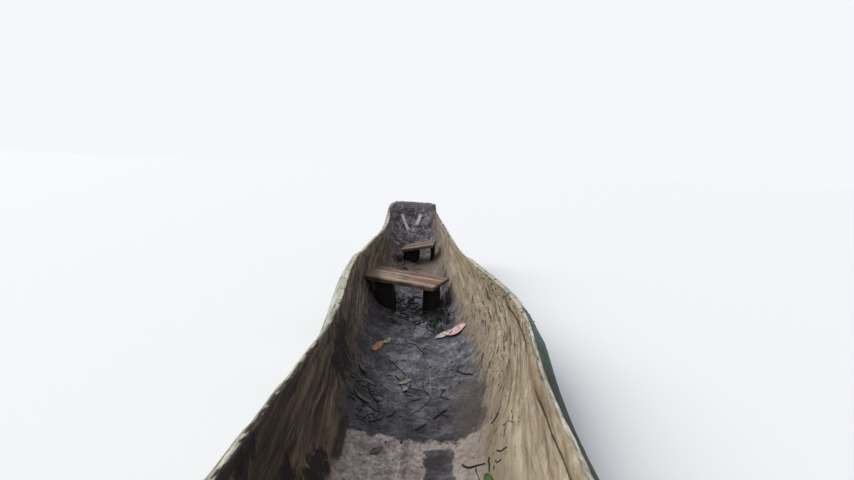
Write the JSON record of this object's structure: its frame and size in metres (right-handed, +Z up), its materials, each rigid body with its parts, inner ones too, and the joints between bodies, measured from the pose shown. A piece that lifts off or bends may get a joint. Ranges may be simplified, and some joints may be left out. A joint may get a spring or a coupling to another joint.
{
  "type": "dugout canoe",
  "caption": "Dugout canoe hewn from one log, with a solid squared bow and stern, an open hollow and rough plank benches on legs.",
  "frame": {"origin": "amidships on the centreline, at the waterline", "axes": "+X forward to the bow, +Y to port, +Z up"},
  "size_m": [6.4, 0.7733, 0.5928],
  "materials": {
    "hull_wood": "weathered, adze-cut, silty and partly wet",
    "plank_wood": "rough-sawn plank, worn",
    "dark_wood": "dark, damp, rough-cut",
    "pale_batten": "pale bare batten",
    "gunwale_strip": "bleached thin strip"
  },
  "bodies": {
    "root": {"hull": "hull_wood", "near_bench_seat": "plank_wood", "near_bench_port_leg": "dark_wood", "near_bench_starboard_leg": "dark_wood", "fore_bench_seat": "plank_wood", "fore_bench_port_block": "dark_wood", "fore_bench_starboard_prop": "dark_wood", "passenger_bench_seat": "plank_wood", "passenger_bench_port_leg": "dark_wood", "passenger_bench_starboard_leg": "dark_wood", "stern_bench_seat": "plank_wood", "stern_bench_port_leg": "dark_wood", "stern_bench_starboard_leg": "dark_wood", "bow_batten_port": "pale_batten", "bow_batten_starboard": "pale_batten", "gunwale_strip_port": "gunwale_strip", "gunwale_strip_starboard": "gunwale_strip"}
  },
  "joints": []
}
